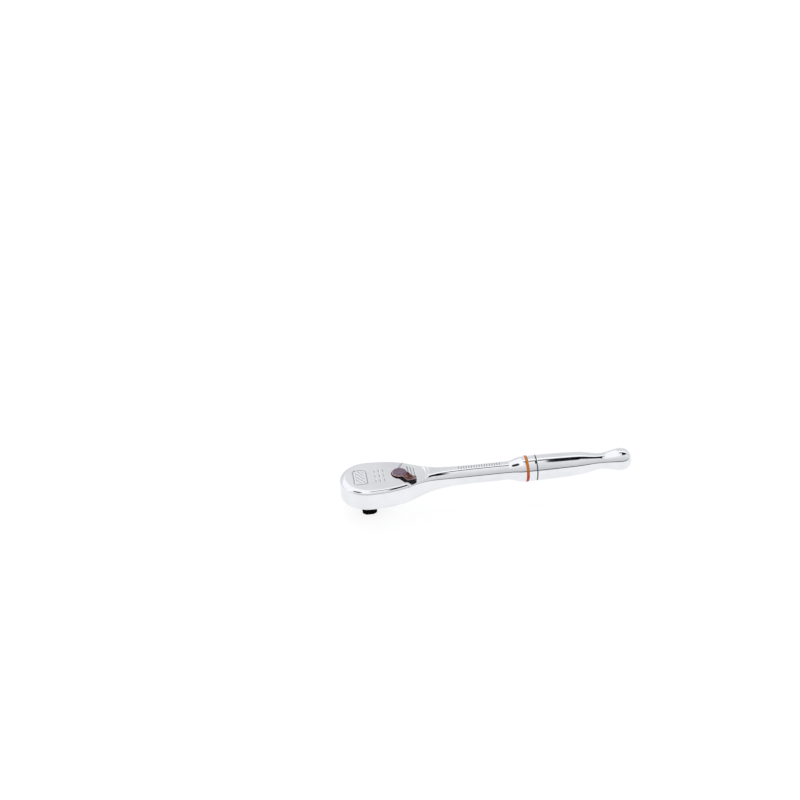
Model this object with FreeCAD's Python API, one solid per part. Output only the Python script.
import FreeCAD, Part
import math
import os

# Quarter-inch square drive reversible ratchet wrench, in millimetres.
# Origin: centre of the square drive's shoulder. +X runs along the handle, +Z up to the lever side.

# ---- driving dimensions -------------------------------------------------------------------
# square drive
SQUARE_SIDE = 6.35
SQUARE_LENGTH = 8.2
SQUARE_DIAGONAL = 8.4
SQUARE_TIP_CHAMFER = 0.7
SQUARE_TIP_LENGTH = 1.26
HUB_RADIUS = 5.2

# head: its radius follows from the pawl pocket and this wall, its height from the gear stack and roof
HEAD_WALL = 1.433
HEAD_ROOF = 1.1
HEAD_UNDERSIDE = 0.2
HEAD_EDGE_RADIUS = 1.7

# shank and grip
SHANK_RADIUS = 4.2
SHANK_DROP = 0.1
GRIP_START = 62.0
GRIP_LENGTH = 56.7
GRIP_RADIUS = 5.82
KNOB_RADIUS = 5.05
KNOB_LENGTH = 5.6
WAIST_RADIUS = 3.65

# neck: distance from the drive axis, then how far it has narrowed, risen and rounded to the shank
NECK = [
    (0.0, 0.0, 0.0, 0.0),
    (6.0, 0.034, 0.0, 0.0),
    (12.0, 0.151, 0.0, 0.0),
    (17.0, 0.349, 0.02, 0.061),
    (21.0, 0.578, 0.10, 0.204),
    (25.0, 0.777, 0.28, 0.408),
    (29.0, 0.898, 0.50, 0.633),
    (34.0, 0.958, 0.75, 0.837),
    (39.0, 0.982, 0.93, 0.959),
    (44.0, 0.995, 1.0, 1.0),
    (52.0, 1.0, 1.0, 1.0),
]
# grip flare: distance from its start, and how far it has grown from shank to grip radius
FLARE = [(0.0, 0.0), (1.2, 0.037), (3.6, 0.463), (6.4, 0.926)]
# grip taper: share of the way from ring to knob, and how far it has shrunk to the waist
TAPER = [(0.0, 0.0), (0.213, 0.0), (0.437, 0.129), (0.6265, 0.399), (0.745, 0.862), (0.818, 1.0)]
KNOB_RISE = 0.915
# knob's round end: distance from the tip, and how much radius it has lost
KNOB_END = [(2.2, 0.45), (0.55, 1.9), (0.0, 3.3)]

# coloured ring and the grip's score line
RING_SETBACK = 8.8
RING_WIDTH = 1.25
RING_DEPTH = 0.7
RING_PROUD = 0.1
RING_EDGE_RADIUS = 0.25
SCORE_SETBACK = 4.3
SCORE_WIDTH = 0.5
SCORE_DEPTH = 0.35

# gear
GEAR_TEETH = 36
GEAR_RADIUS = 7.5
TOOTH_DEPTH = 0.5
TOOTH_LAND_DEG = 0.8
JOURNAL_RADIUS = 5.0
JOURNAL_LENGTH = 1.1

# levels inside the head, from the drive side up
CAVITY_FLOOR = 2.6
PAWL_THICKNESS = 2.5
COVER_THICKNESS = 1.2
COVER_LEDGE = 1.9
SNAP_THICKNESS = 0.8
SNAP_WIDTH = 1.1
SNAP_SEAT_DEPTH = 0.55
SNAP_EAR_RADIUS = 0.9
SNAP_EAR_HOLE = 0.4
SNAP_GAP_DEG = 34.0
WASHER_THICKNESS = 0.25
WASHER_WIDTH = 1.8

# pawls
PIN_SETBACK = 2.1
PIN_RADIUS = 0.9
PIN_SEAT = 0.8
PAWL_ROCK_DEG = 7.0
WING_END_DEG = 57.0
WING_TOOTH_START_DEG = 32.0
WING_THICKNESS = 1.25
HEEL_LENGTH = 2.5
HEEL_HALF_WIDTH = 3.0
DISH_UNDERCUT = 0.18
DISH_SETBACK = 0.67

# lever
LEVER_DISC_RADIUS = 3.35
LEVER_PROUD = 0.8
LEVER_REACH = 8.7
LEVER_TIP_RADIUS = 2.0
LEVER_TAIL_HALF_WIDTH = 2.15
LEVER_REST_DEG = -41.0
LEVER_POST_RADIUS = 1.9
LEVER_NECK_RADIUS = 2.6
LEVER_FOOT_RADIUS = 1.2
LEVER_FOOT_LENGTH = 1.3
LEVER_EDGE_RADIUS = 0.3
THUMB_DISH_RADIUS = 3.4
THUMB_DISH_DEPTH = 1.15
THUMB_DISH_REACH = 6.1
CLIP_THICKNESS = 0.4
CLIP_INNER_RADIUS = 1.65
CLIP_OUTER_RADIUS = 3.1
CLIP_GAP_WIDTH = 2.4
LEVER_SEAL_WIRE = 0.5

# recess around the lever
RECESS_DEPTH = 1.0
RECESS_REACH = 12.4
RECESS_HALF_DEG = 58.0
RECESS_LAP = 0.35
RIB_COUNT = 3
RIB_PITCH = 1.3
RIB_WIDTH = 0.5
RIB_DEPTH = 0.22
RIB_FIRST = 3.95
RIB_HALF_LENGTH = 7.1
RIB_SHRINK = 0.9

# plungers and springs
PLUNGER_RADIUS = 0.5
PLUNGER_LENGTH = 2.2
PLUNGER_BORE_END = 1.4
SPRING_WIRE = 0.09
SPRING_TURNS = 6
BALL_RADIUS = 1.2
BALL_PROUD = 0.45
BALL_Z = -4.3
BALL_BORE_END = 2.1
BALL_LIP_WIDTH = 0.12
BALL_SPRING_RADIUS = 0.75
PLUNGER_SPRING_RADIUS = 0.35

# named clearances
RUNNING = 0.05
SEAT_GAP = 0.02
TIP_GAP = 0.2
MESH_GAP = 0.06
RIDE_GAP = 0.06
WING_GAP = 0.1
POCKET_GAP = 0.25
POCKET_END_DEG = 7.7
FLOOR_GAP = 0.1
PAWL_GAP = 0.1
PAST = 1.0

# ---- sizes that follow from them ----------------------------------------------------------
LOWER_PAWL_Z = CAVITY_FLOOR + PAWL_GAP
UPPER_PAWL_Z = LOWER_PAWL_Z + PAWL_THICKNESS + PAWL_GAP
GEAR_BOTTOM = CAVITY_FLOOR + SEAT_GAP
GEAR_TOP = UPPER_PAWL_Z + PAWL_THICKNESS
POCKET_CEILING = GEAR_TOP + PAWL_GAP
CAVITY_CEILING = GEAR_TOP + WASHER_THICKNESS + 2 * SEAT_GAP
JOURNAL_TOP = GEAR_TOP + JOURNAL_LENGTH
CLIP_CEILING = POCKET_CEILING + CLIP_THICKNESS + 2 * SEAT_GAP
HEAD_TOP = JOURNAL_TOP + HEAD_ROOF
RECESS_FLOOR = HEAD_TOP - RECESS_DEPTH
LEVER_LOW = RECESS_FLOOR + FLOOR_GAP
LEVER_SEAL_Z = (CLIP_CEILING + LEVER_LOW) / 2

CAVITY_RADIUS = GEAR_RADIUS + TIP_GAP
COVER_RADIUS = CAVITY_RADIUS + COVER_LEDGE
WING_INNER = GEAR_RADIUS + WING_GAP
WING_OUTER = WING_INNER + WING_THICKNESS
ROOT_RADIUS = GEAR_RADIUS - TOOTH_DEPTH
TOOTH_PITCH_DEG = 360.0 / GEAR_TEETH
PIN_X = GEAR_RADIUS + PIN_SETBACK
HEEL_X = PIN_X + HEEL_LENGTH
DISH_X = HEEL_X + DISH_SETBACK
DISH_RADIUS = LEVER_POST_RADIUS - DISH_UNDERCUT
LEVER_X = HEEL_X + LEVER_POST_RADIUS

# the wings swing out by this much between the lever's two stops
WING_LIFT = 2 * math.radians(PAWL_ROCK_DEG) * PIN_X * math.sin(math.radians(WING_END_DEG))
POCKET_RADIUS = WING_OUTER + WING_LIFT + POCKET_GAP
HEAD_RADIUS = POCKET_RADIUS + HEAD_WALL
# the lower pawl rests half a pitch out of step, its teeth just clear of the gear's tips
LOWER_TOOTH_DEG = math.ceil(WING_TOOTH_START_DEG / TOOTH_PITCH_DEG) * TOOTH_PITCH_DEG
LOWER_LIFT_DEG = math.degrees((TOOTH_DEPTH - MESH_GAP + RIDE_GAP)
                              / (PIN_X * math.sin(math.radians(LOWER_TOOTH_DEG))))
LOWER_ROCK_DEG = PAWL_ROCK_DEG - LOWER_LIFT_DEG

COVER_TOP = CAVITY_FLOOR - SEAT_GAP
SNAP_TOP = COVER_TOP - COVER_THICKNESS - SEAT_GAP
SNAP_LOW = SNAP_TOP - SNAP_THICKNESS
SNAP_OUTER = COVER_RADIUS + SNAP_SEAT_DEPTH
DRIVE_SEAL_DEPTH = COVER_THICKNESS / 2
DRIVE_SEAL_Z = COVER_TOP - COVER_THICKNESS / 2
# distance of the detent ball's centre from the drive axis
BALL_CENTRE = SQUARE_SIDE / 2 + BALL_PROUD - BALL_RADIUS

SHANK_AXIS_Z = HEAD_TOP - SHANK_DROP - SHANK_RADIUS
HANDLE_END = GRIP_START + GRIP_LENGTH
KNOB_X = HANDLE_END - KNOB_LENGTH
RING_CENTRE = GRIP_START + RING_SETBACK
SCORE_CENTRE = RING_CENTRE + SCORE_SETBACK

UP = FreeCAD.Vector(0, 0, 1)
ALONG = FreeCAD.Vector(1, 0, 0)


def point(x, y, z=0.0):
    return FreeCAD.Vector(x, y, z)


def polar(radius, degrees, z=0.0):
    turn = math.radians(degrees)
    return point(radius * math.cos(turn), radius * math.sin(turn), z)


def cylinder(radius, low, high, x=0.0, y=0.0):
    return Part.makeCylinder(radius, high - low, point(x, y, low))


def tube(outer, inner, low, high, x=0.0):
    return cylinder(outer, low, high, x).cut(cylinder(inner, low - PAST, high + PAST, x))


def prism(corners, low, high):
    base = [point(x, y, low) for x, y in corners]
    face = Part.Face(Part.makePolygon(base + base[:1]))
    return face.extrude(point(0, 0, high - low))


def turned(shape, degrees, x=0.0):
    copy = shape.copy()
    copy.rotate(point(x, 0), UP, degrees)
    return copy


def mirrored(shape):
    return shape.mirror(point(0, 0), point(0, 1))


def one_solid(shape):
    """The single solid of a result, with its split faces joined."""
    return shape.removeSplitter().Solids[0]


# ---- forged body --------------------------------------------------------------------------
def head_section(x, half_width, low, high, corner):
    """Closed outline across the handle: four straights and four corner arcs."""
    spots = [(-1, -1), (1, -1), (1, 1), (-1, 1)]
    mid = (low + high) / 2.0
    half_height = (high - low) / 2.0
    edges = []
    ends = []
    for turn, (side, level) in enumerate(spots):
        centre = point(x, side * (half_width - corner), mid + level * (half_height - corner))
        first = math.radians(180 + 90 * turn)
        arc = []
        for step in range(3):
            angle = first + math.radians(45) * step
            arc.append(centre + point(0, corner * math.cos(angle), corner * math.sin(angle)))
        ends.append(arc)
    for turn, arc in enumerate(ends):
        edges.append(Part.Arc(*arc).toShape())
        edges.append(Part.LineSegment(arc[2], ends[(turn + 1) % 4][0]).toShape())
    return Part.Wire(edges)


def neck_sections():
    """Sections from the middle of the head to the start of the grip."""
    shank_low = SHANK_AXIS_Z - SHANK_RADIUS
    shank_high = SHANK_AXIS_Z + SHANK_RADIUS
    shank_corner = SHANK_RADIUS - RUNNING
    wires = []
    for x, narrowed, risen, rounded in NECK + [(GRIP_START, 1.0, 1.0, 1.0)]:
        half_width = HEAD_RADIUS + (SHANK_RADIUS - HEAD_RADIUS) * narrowed
        low = HEAD_UNDERSIDE + (shank_low - HEAD_UNDERSIDE) * risen
        high = HEAD_TOP + (shank_high - HEAD_TOP) * risen
        corner = HEAD_EDGE_RADIUS + (shank_corner - HEAD_EDGE_RADIUS) * rounded
        wires.append(head_section(x, half_width, low, high, corner))
    return wires


def head_front():
    """Front half of the head, turned about the drive axis."""
    edge = HEAD_EDGE_RADIUS
    slant = edge * (1 - math.sqrt(0.5))
    low = HEAD_UNDERSIDE
    high = HEAD_TOP
    outline = Part.Wire([
        Part.LineSegment(point(0, 0, low), point(0, HEAD_RADIUS - edge, low)).toShape(),
        Part.Arc(point(0, HEAD_RADIUS - edge, low),
                 point(0, HEAD_RADIUS - slant, low + slant),
                 point(0, HEAD_RADIUS, low + edge)).toShape(),
        Part.LineSegment(point(0, HEAD_RADIUS, low + edge), point(0, HEAD_RADIUS, high - edge)).toShape(),
        Part.Arc(point(0, HEAD_RADIUS, high - edge),
                 point(0, HEAD_RADIUS - slant, high - slant),
                 point(0, HEAD_RADIUS - edge, high)).toShape(),
        Part.LineSegment(point(0, HEAD_RADIUS - edge, high), point(0, 0, high)).toShape(),
        Part.LineSegment(point(0, 0, high), point(0, 0, low)).toShape(),
    ])
    return Part.Face(outline).revolve(point(0, 0), UP, 180)


def grip():
    """Flared grip with its waist and rounded knob, turned about the handle axis."""
    taper_length = KNOB_X - RING_CENTRE
    curve_points = []
    for distance, grown in FLARE:
        curve_points.append((GRIP_START + distance, SHANK_RADIUS + (GRIP_RADIUS - SHANK_RADIUS) * grown))
    for share, shrunk in TAPER:
        curve_points.append((RING_CENTRE + taper_length * share,
                             GRIP_RADIUS + (WAIST_RADIUS - GRIP_RADIUS) * shrunk))
    curve_points.append((RING_CENTRE + taper_length * KNOB_RISE, (WAIST_RADIUS + KNOB_RADIUS) / 2))
    curve_points.append((KNOB_X, KNOB_RADIUS))
    for distance, lost in KNOB_END:
        curve_points.append((HANDLE_END - distance, KNOB_RADIUS - lost))
    rim = [point(x, 0, SHANK_AXIS_Z + radius) for x, radius in curve_points]
    curve = Part.BSplineCurve()
    curve.interpolate(rim)
    start = point(GRIP_START, 0, SHANK_AXIS_Z)
    end = point(HANDLE_END, 0, SHANK_AXIS_Z)
    outline = Part.Wire([
        Part.LineSegment(start, rim[0]).toShape(),
        curve.toShape(),
        Part.LineSegment(rim[-1], end).toShape(),
        Part.LineSegment(end, start).toShape(),
    ])
    return Part.Face(outline).revolve(start, ALONG, 360)


def handle_groove(centre, width, depth):
    """Ring-shaped cutter round the grip."""
    start = point(centre - width / 2, 0, SHANK_AXIS_Z)
    outer = Part.makeCylinder(GRIP_RADIUS + PAST, width, start, ALONG)
    return outer.cut(Part.makeCylinder(GRIP_RADIUS - depth, width, start, ALONG))


def pocket():
    """Room for the pawls, the lever post and the plungers."""
    slope = math.tan(math.radians(WING_END_DEG + POCKET_END_DEG))
    wedge = prism([(0, 0), (POCKET_RADIUS, -POCKET_RADIUS * slope), (POCKET_RADIUS, POCKET_RADIUS * slope)],
                  CAVITY_FLOOR, POCKET_CEILING)
    wings = cylinder(POCKET_RADIUS, CAVITY_FLOOR, POCKET_CEILING).common(wedge)
    tilt = math.radians(PAWL_ROCK_DEG) * (HEEL_HALF_WIDTH + HEEL_LENGTH) / 2
    half_width = HEEL_HALF_WIDTH + tilt + POCKET_GAP
    depth = HEEL_X + tilt + POCKET_GAP - GEAR_RADIUS
    heel = Part.makeBox(depth, 2 * half_width, POCKET_CEILING - CAVITY_FLOOR,
                        point(GEAR_RADIUS, -half_width, CAVITY_FLOOR))
    plunger_room = plunger_centre(PAWL_ROCK_DEG) + PLUNGER_RADIUS + POCKET_GAP
    post_room = cylinder(plunger_room, CAVITY_FLOOR, POCKET_CEILING, LEVER_X)
    clip_room = cylinder(CLIP_OUTER_RADIUS + POCKET_GAP, CAVITY_FLOOR, CLIP_CEILING, LEVER_X)
    return wings.fuse([heel, post_room, clip_room])


def cavity():
    """Everything bored into the head: gear room, journal, cover seat, snap ring groove, pin seats."""
    cuts = [
        cylinder(CAVITY_RADIUS, 0, CAVITY_CEILING),
        cylinder(JOURNAL_RADIUS + RUNNING, CAVITY_FLOOR, JOURNAL_TOP + RUNNING),
        cylinder(COVER_RADIUS + RUNNING, 0, CAVITY_FLOOR),
        cylinder(SNAP_OUTER + RUNNING, SNAP_LOW - SEAT_GAP, SNAP_TOP + SEAT_GAP),
        cylinder(PIN_RADIUS, CAVITY_FLOOR, POCKET_CEILING + PIN_SEAT, PIN_X),
        cylinder(LEVER_NECK_RADIUS + RUNNING, CAVITY_FLOOR, HEAD_TOP + PAST, LEVER_X),
        cylinder(LEVER_FOOT_RADIUS + RUNNING, CAVITY_FLOOR - LEVER_FOOT_LENGTH - SEAT_GAP,
                 CAVITY_FLOOR + SEAT_GAP, LEVER_X),
    ]
    return pocket().fuse(cuts)


def recess():
    """Fan-shaped step in the top face that the lever's tail sweeps over."""
    above = HEAD_TOP + PAST
    far = 2 * RECESS_REACH
    rise = far * math.tan(math.radians(RECESS_HALF_DEG))
    apex = LEVER_X - LEVER_DISC_RADIUS + RECESS_LAP
    fan = prism([(apex, 0), (apex + far, -rise), (apex + far, rise)], RECESS_FLOOR, above)
    fan = fan.common(cylinder(RECESS_REACH, RECESS_FLOOR, above, LEVER_X))
    return fan.fuse(cylinder(LEVER_DISC_RADIUS + TIP_GAP, RECESS_FLOOR, above, LEVER_X))


def ribs():
    """Short grooves across the recess floor."""
    cuts = []
    for row in range(RIB_COUNT):
        x = LEVER_X + RIB_FIRST + row * RIB_PITCH
        half = RIB_HALF_LENGTH - RIB_SHRINK * row
        cuts.append(Part.makeBox(RIB_WIDTH, 2 * half, RIB_DEPTH + PAST,
                                 point(x, -half, RECESS_FLOOR - RIB_DEPTH)))
    return cuts


def ratchet_body():
    """One-piece forging: head, neck, shank and grip."""
    neck = Part.makeLoft(neck_sections(), True, False)
    blank = head_front().fuse([neck, grip()])
    blank = blank.cut(recess())
    blank = blank.cut([cavity()] + ribs())
    blank = blank.cut([handle_groove(RING_CENTRE, RING_WIDTH, RING_DEPTH),
                       handle_groove(SCORE_CENTRE, SCORE_WIDTH, SCORE_DEPTH)])
    return one_solid(blank)


def handle_ring():
    """Coloured ring seated in the grip's groove, a little proud of it."""
    start = point(RING_CENTRE - RING_WIDTH / 2, 0, SHANK_AXIS_Z)
    outer = Part.makeCylinder(GRIP_RADIUS + RING_PROUD, RING_WIDTH, start, ALONG)
    rims = [edge for edge in outer.Edges if edge.Length > 2 * RING_WIDTH]
    outer = outer.makeFillet(RING_EDGE_RADIUS, rims)
    return outer.cut(Part.makeCylinder(GRIP_RADIUS - RING_DEPTH, RING_WIDTH, start, ALONG))


# ---- drive --------------------------------------------------------------------------------
def gear_outline(gap):
    """Tooth profile, opened by a gap: tips at whole pitches from +X, roots half way between."""
    corners = []
    half = TOOTH_LAND_DEG / 2 + math.degrees(gap / GEAR_RADIUS)
    for tooth in range(GEAR_TEETH):
        tip = tooth * TOOTH_PITCH_DEG
        root = tip + TOOTH_PITCH_DEG / 2
        for radius, angle in [(GEAR_RADIUS + gap, tip - half), (GEAR_RADIUS + gap, tip + half),
                              (ROOT_RADIUS + gap, root)]:
            spot = polar(radius, angle)
            corners.append((spot.x, spot.y))
    return corners


def square_drive():
    """Square tang with rounded corners and a chamfered tip."""
    half = SQUARE_SIDE / 2
    blank = Part.makeBox(SQUARE_SIDE, SQUARE_SIDE, SQUARE_LENGTH + PAST,
                         point(-half, -half, -SQUARE_LENGTH))
    blank = blank.common(cylinder(SQUARE_DIAGONAL / 2, -SQUARE_LENGTH, PAST))
    tip_low = SQUARE_DIAGONAL / 2 - SQUARE_TIP_CHAMFER
    cone = Part.makeCone(tip_low, tip_low + SQUARE_TIP_LENGTH, SQUARE_TIP_LENGTH,
                         point(0, 0, -SQUARE_LENGTH))
    rest = cylinder(SQUARE_DIAGONAL, SQUARE_TIP_LENGTH - SQUARE_LENGTH, PAST)
    return blank.common(cone.fuse(rest))


def drive_gear():
    """Gear, hub, journal and square drive in one piece, bored for the detent ball."""
    teeth = prism(gear_outline(0.0), GEAR_BOTTOM, GEAR_TOP)
    hub = cylinder(HUB_RADIUS, 0, GEAR_BOTTOM)
    journal = cylinder(JOURNAL_RADIUS, GEAR_TOP, JOURNAL_TOP)
    blank = teeth.fuse([hub, journal, square_drive()])
    blank = blank.cut(tube(HUB_RADIUS + PAST, HUB_RADIUS - DRIVE_SEAL_DEPTH,
                           DRIVE_SEAL_Z - DRIVE_SEAL_DEPTH / 2, DRIVE_SEAL_Z + DRIVE_SEAL_DEPTH / 2))
    mouth_radius = BALL_RADIUS - BALL_LIP_WIDTH
    lip = BALL_CENTRE + math.sqrt(BALL_RADIUS ** 2 - mouth_radius ** 2) + SEAT_GAP
    bore = Part.makeCylinder(BALL_RADIUS + RUNNING, lip + BALL_BORE_END,
                             point(0, -BALL_BORE_END, BALL_Z), point(0, 1, 0))
    mouth = Part.makeCylinder(mouth_radius, SQUARE_SIDE, point(0, 0, BALL_Z), point(0, 1, 0))
    return one_solid(blank.cut([bore, mouth]))


def detent_ball():
    return Part.makeSphere(BALL_RADIUS, point(0, BALL_CENTRE, BALL_Z))


def coil(radius, length):
    """Closed solid of a small compression spring standing on z = 0."""
    pitch = (length - 2 * SPRING_WIRE) / SPRING_TURNS
    path = Part.makeHelix(pitch, pitch * SPRING_TURNS, radius)
    section = Part.Wire([Part.makeCircle(SPRING_WIRE, point(radius, 0, 0), point(0, 1, 0))])
    spring = Part.Wire(path).makePipeShell([section], True, True)
    spring.translate(point(0, 0, SPRING_WIRE))
    return spring.Solids[0] if spring.Solids else Part.Solid(spring)


def laid(shape, start, heading_deg):
    """Lays a part that stands along +Z down along a heading in the XY plane."""
    copy = shape.copy()
    copy.rotate(point(0, 0), point(0, 1, 0), 90)
    copy.rotate(point(0, 0), UP, heading_deg)
    copy.translate(start)
    return copy


def detent_spring():
    """Spring between the bottom of the ball's bore and the ball."""
    length = BALL_CENTRE + BALL_BORE_END - BALL_RADIUS
    spring = coil(BALL_SPRING_RADIUS, length - SEAT_GAP)
    return laid(spring, point(0, -BALL_BORE_END + SEAT_GAP / 2, BALL_Z), 90)


def cover_plate():
    return tube(COVER_RADIUS, HUB_RADIUS + RUNNING, COVER_TOP - COVER_THICKNESS, COVER_TOP)


def drive_seal():
    """Rubber ring in the hub's groove, inside the cover plate's bore."""
    half = DRIVE_SEAL_DEPTH / 2 - SEAT_GAP
    return tube(HUB_RADIUS + RUNNING / 2, HUB_RADIUS - DRIVE_SEAL_DEPTH + SEAT_GAP,
                DRIVE_SEAL_Z - half, DRIVE_SEAL_Z + half)


def retaining_ring():
    """Internal snap ring with two eared ends, open towards the handle."""
    inner = COVER_RADIUS - SNAP_WIDTH
    ring = tube(SNAP_OUTER, inner, SNAP_LOW, SNAP_TOP)
    far = 2 * SNAP_OUTER
    rise = far * math.tan(math.radians(SNAP_GAP_DEG / 2))
    ring = ring.cut(prism([(0, 0), (far, -rise), (far, rise)], SNAP_LOW - PAST, SNAP_TOP + PAST))
    ear_angle = SNAP_GAP_DEG / 2 + math.degrees(SNAP_EAR_RADIUS / inner)
    for side in (-1, 1):
        spot = polar(inner, side * ear_angle)
        ring = ring.fuse(cylinder(SNAP_EAR_RADIUS, SNAP_LOW, SNAP_TOP, spot.x, spot.y))
        ring = ring.cut(cylinder(SNAP_EAR_HOLE, SNAP_LOW - PAST, SNAP_TOP + PAST, spot.x, spot.y))
    return one_solid(ring)


def thrust_washer():
    low = GEAR_TOP + SEAT_GAP
    inner = JOURNAL_RADIUS + 2 * RUNNING
    return tube(inner + WASHER_WIDTH, inner, low, low + WASHER_THICKNESS)


# ---- pawls --------------------------------------------------------------------------------
def half_pawl(low, tooth_shift_deg):
    """The +Y half of a pawl in its middle position, toothed to fit the gear when rocked in."""
    high = low + PAWL_THICKNESS
    far = 2 * WING_OUTER
    end = math.radians(WING_END_DEG)
    first = math.radians(WING_TOOTH_START_DEG)
    ring = tube(WING_OUTER, WING_INNER, low, high)
    wing = ring.common(prism([(0, 0), (far, 0), (far * math.cos(end), far * math.sin(end))], low, high))
    heel = Part.makeBox(HEEL_X - WING_INNER, HEEL_HALF_WIDTH, PAWL_THICKNESS, point(WING_INNER, 0, low))
    heel = heel.cut(cylinder(DISH_RADIUS, low - PAST, high + PAST, DISH_X))
    heel = turned(heel, PAWL_ROCK_DEG, PIN_X).cut(cylinder(WING_INNER, low - PAST, high + PAST))
    tooth_zone = prism([(0, 0), (far * math.cos(first), far * math.sin(first)),
                        (far * math.cos(end), far * math.sin(end))], low, high)
    pad = tube(WING_OUTER - WING_THICKNESS / 3, ROOT_RADIUS - PAST, low, high).common(tooth_zone)
    cutter = turned(prism(gear_outline(MESH_GAP), low - PAST, high + PAST), tooth_shift_deg)
    rocked_in = wing.fuse([heel, pad.cut(cutter)])
    return turned(rocked_in, -PAWL_ROCK_DEG, PIN_X)


def pawl(low, tooth_shift_deg, rest_deg):
    """Whole pawl, rocked to its rest about the pin."""
    half = half_pawl(low, tooth_shift_deg)
    whole = half.fuse(mirrored(half))
    whole = whole.cut(cylinder(PIN_RADIUS + RUNNING, low - PAST, low + PAWL_THICKNESS + PAST, PIN_X))
    return turned(one_solid(whole), rest_deg, PIN_X)


def upper_pawl():
    return pawl(UPPER_PAWL_Z, 0.0, PAWL_ROCK_DEG)


def lower_pawl():
    return pawl(LOWER_PAWL_Z, TOOTH_PITCH_DEG / 2, LOWER_ROCK_DEG)


def pawl_pin():
    return cylinder(PIN_RADIUS, CAVITY_FLOOR + SEAT_GAP, POCKET_CEILING + PIN_SEAT, PIN_X)


def plunger_centre(rock_deg):
    """Distance from the lever axis to the centre of a plunger's round nose that touches a pawl
    rocked by rock_deg, with the lever at rest."""
    heading = math.radians(180 + LEVER_REST_DEG)
    rock = math.radians(rock_deg)
    arm = DISH_X - PIN_X
    off_x = LEVER_X - PIN_X - arm * math.cos(rock)
    off_y = -arm * math.sin(rock)
    along = off_x * math.cos(heading) + off_y * math.sin(heading)
    reach = DISH_RADIUS - PLUNGER_RADIUS - SEAT_GAP
    return -along + math.sqrt(along ** 2 - off_x ** 2 - off_y ** 2 + reach ** 2)


def plunger(low, rock_deg):
    """Round-nosed plunger lying at mid height of its pawl."""
    length = PLUNGER_LENGTH - PLUNGER_RADIUS
    body = Part.makeCylinder(PLUNGER_RADIUS, length)
    nose = Part.makeSphere(PLUNGER_RADIUS, point(0, 0, length))
    start = plunger_centre(rock_deg) - length
    heading = 180 + LEVER_REST_DEG
    place = polar(start, heading) + point(LEVER_X, 0, low + PAWL_THICKNESS / 2)
    return laid(one_solid(body.fuse(nose)), place, heading)


def plunger_spring(low, rock_deg):
    """Spring between the bottom of the lever post's bore and a plunger."""
    heading = 180 + LEVER_REST_DEG
    tail = plunger_centre(rock_deg) - PLUNGER_LENGTH + PLUNGER_RADIUS
    spring = coil(PLUNGER_SPRING_RADIUS, tail + PLUNGER_BORE_END - SEAT_GAP)
    place = polar(-PLUNGER_BORE_END + SEAT_GAP / 2, heading) + point(LEVER_X, 0, low + PAWL_THICKNESS / 2)
    return laid(spring, place, heading)


# ---- lever --------------------------------------------------------------------------------
def lever_paddle():
    """Disc and tail seen from above, pointing along +X, with a dished thumb rest."""
    high = HEAD_TOP + LEVER_PROUD
    tip = LEVER_REACH - LEVER_TIP_RADIUS
    lean = math.acos((LEVER_TAIL_HALF_WIDTH - LEVER_TIP_RADIUS) / tip)
    disc = cylinder(LEVER_DISC_RADIUS, LEVER_LOW, high)
    nose = cylinder(LEVER_TIP_RADIUS, LEVER_LOW, high, tip)
    corners = [polar(LEVER_TAIL_HALF_WIDTH, math.degrees(lean)),
               polar(LEVER_TIP_RADIUS, math.degrees(lean)) + point(tip, 0)]
    outline = [(spot.x, spot.y) for spot in corners] + [(spot.x, -spot.y) for spot in reversed(corners)]
    paddle = disc.fuse([nose, prism(outline, LEVER_LOW, high)]).removeSplitter()
    rims = [edge for edge in paddle.Edges if high - edge.BoundBox.ZMin < SEAT_GAP]
    paddle = paddle.makeFillet(LEVER_EDGE_RADIUS, rims)
    dish_z = high - THUMB_DISH_DEPTH + THUMB_DISH_RADIUS
    dish = Part.makeCylinder(THUMB_DISH_RADIUS, 2 * LEVER_DISC_RADIUS,
                             point(THUMB_DISH_REACH, -LEVER_DISC_RADIUS, dish_z), point(0, 1, 0))
    return paddle.cut(dish)


def reverse_lever():
    """Lever with its neck, clip seat, post and foot, bored for the two plungers."""
    neck = cylinder(LEVER_NECK_RADIUS, CLIP_CEILING - SEAT_GAP, LEVER_LOW)
    neck = neck.cut(tube(LEVER_NECK_RADIUS + PAST, LEVER_NECK_RADIUS - LEVER_SEAL_WIRE,
                         LEVER_SEAL_Z - LEVER_SEAL_WIRE / 2, LEVER_SEAL_Z + LEVER_SEAL_WIRE / 2))
    clip_seat = cylinder(CLIP_INNER_RADIUS - RUNNING, POCKET_CEILING - PAWL_GAP, CLIP_CEILING)
    post = cylinder(LEVER_POST_RADIUS, CAVITY_FLOOR + FLOOR_GAP, POCKET_CEILING - PAWL_GAP / 2)
    foot = cylinder(LEVER_FOOT_RADIUS, CAVITY_FLOOR - LEVER_FOOT_LENGTH, CAVITY_FLOOR + PAWL_GAP * 2)
    blank = lever_paddle().fuse([neck, clip_seat, post, foot])
    for level in (LOWER_PAWL_Z, UPPER_PAWL_Z):
        spot = point(PLUNGER_BORE_END, 0, level + PAWL_THICKNESS / 2)
        blank = blank.cut(Part.makeCylinder(PLUNGER_RADIUS + SEAT_GAP, 2 * LEVER_DISC_RADIUS, spot,
                                            point(-1, 0, 0)))
    lever = turned(one_solid(blank), LEVER_REST_DEG)
    lever.translate(point(LEVER_X, 0))
    return lever


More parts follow.
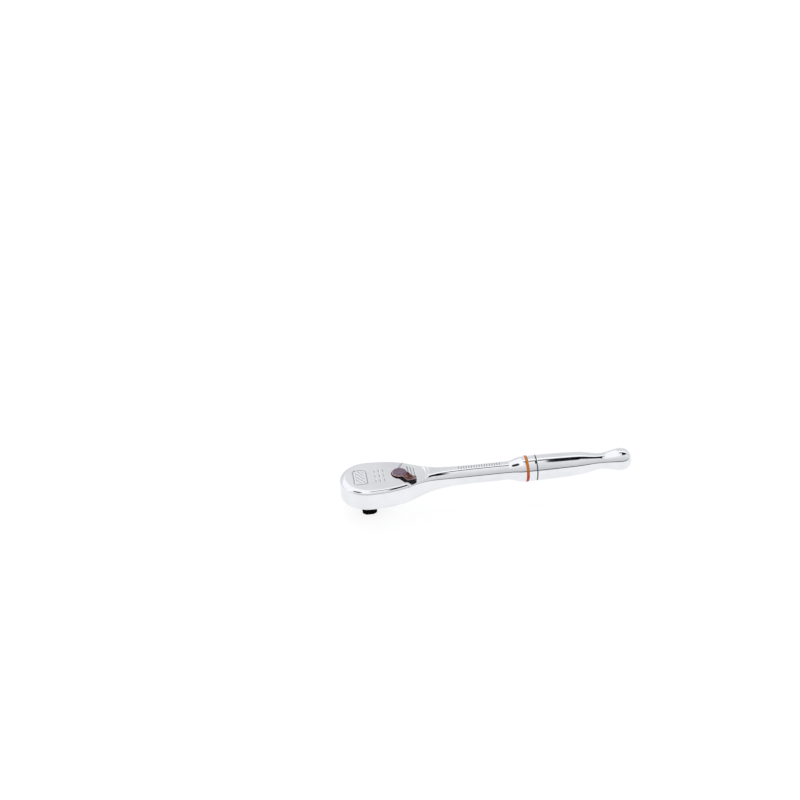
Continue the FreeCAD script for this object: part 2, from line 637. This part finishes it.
def lever_seal():
    """Rubber ring in the lever neck's groove."""
    half = LEVER_SEAL_WIRE / 2 - SEAT_GAP
    return tube(LEVER_NECK_RADIUS + RUNNING / 2, LEVER_NECK_RADIUS - LEVER_SEAL_WIRE + SEAT_GAP,
                LEVER_SEAL_Z - half, LEVER_SEAL_Z + half, LEVER_X)


def lever_clip():
    """Open retaining clip under the head's roof, round the lever post."""
    low = POCKET_CEILING + SEAT_GAP
    high = low + CLIP_THICKNESS
    clip = tube(CLIP_OUTER_RADIUS, CLIP_INNER_RADIUS, low, high)
    slot = Part.makeBox(CLIP_OUTER_RADIUS + PAST, CLIP_GAP_WIDTH, CLIP_THICKNESS + 2 * PAST,
                        point(0, -CLIP_GAP_WIDTH / 2, low - PAST))
    clip = turned(one_solid(clip.cut(slot)), LEVER_REST_DEG)
    clip.translate(point(LEVER_X, 0))
    return clip


# ---- write every node ---------------------------------------------------------------------
def main():
    os.makedirs("parts", exist_ok=True)
    nodes = {
        "ratchet_body": ratchet_body(),
        "handle_ring": handle_ring(),
        "drive_gear": drive_gear(),
        "detent_ball": detent_ball(),
        "detent_spring": detent_spring(),
        "drive_seal": drive_seal(),
        "cover_plate": cover_plate(),
        "retaining_ring": retaining_ring(),
        "thrust_washer": thrust_washer(),
        "upper_pawl": upper_pawl(),
        "lower_pawl": lower_pawl(),
        "pawl_pin": pawl_pin(),
        "reverse_lever": reverse_lever(),
        "lever_seal": lever_seal(),
        "lever_clip": lever_clip(),
        "upper_plunger": plunger(UPPER_PAWL_Z, PAWL_ROCK_DEG),
        "lower_plunger": plunger(LOWER_PAWL_Z, LOWER_ROCK_DEG),
        "upper_plunger_spring": plunger_spring(UPPER_PAWL_Z, PAWL_ROCK_DEG),
        "lower_plunger_spring": plunger_spring(LOWER_PAWL_Z, LOWER_ROCK_DEG),
    }
    for name, shape in nodes.items():
        shape.exportStep("parts/" + name + ".step")
        box = shape.BoundBox
        print(name, "valid" if shape.isValid() else "INVALID", "solids", len(shape.Solids),
              "volume %.2f" % shape.Volume, "x %.2f..%.2f" % (box.XMin, box.XMax),
              "y %.2f..%.2f" % (box.YMin, box.YMax), "z %.2f..%.2f" % (box.ZMin, box.ZMax))


main()
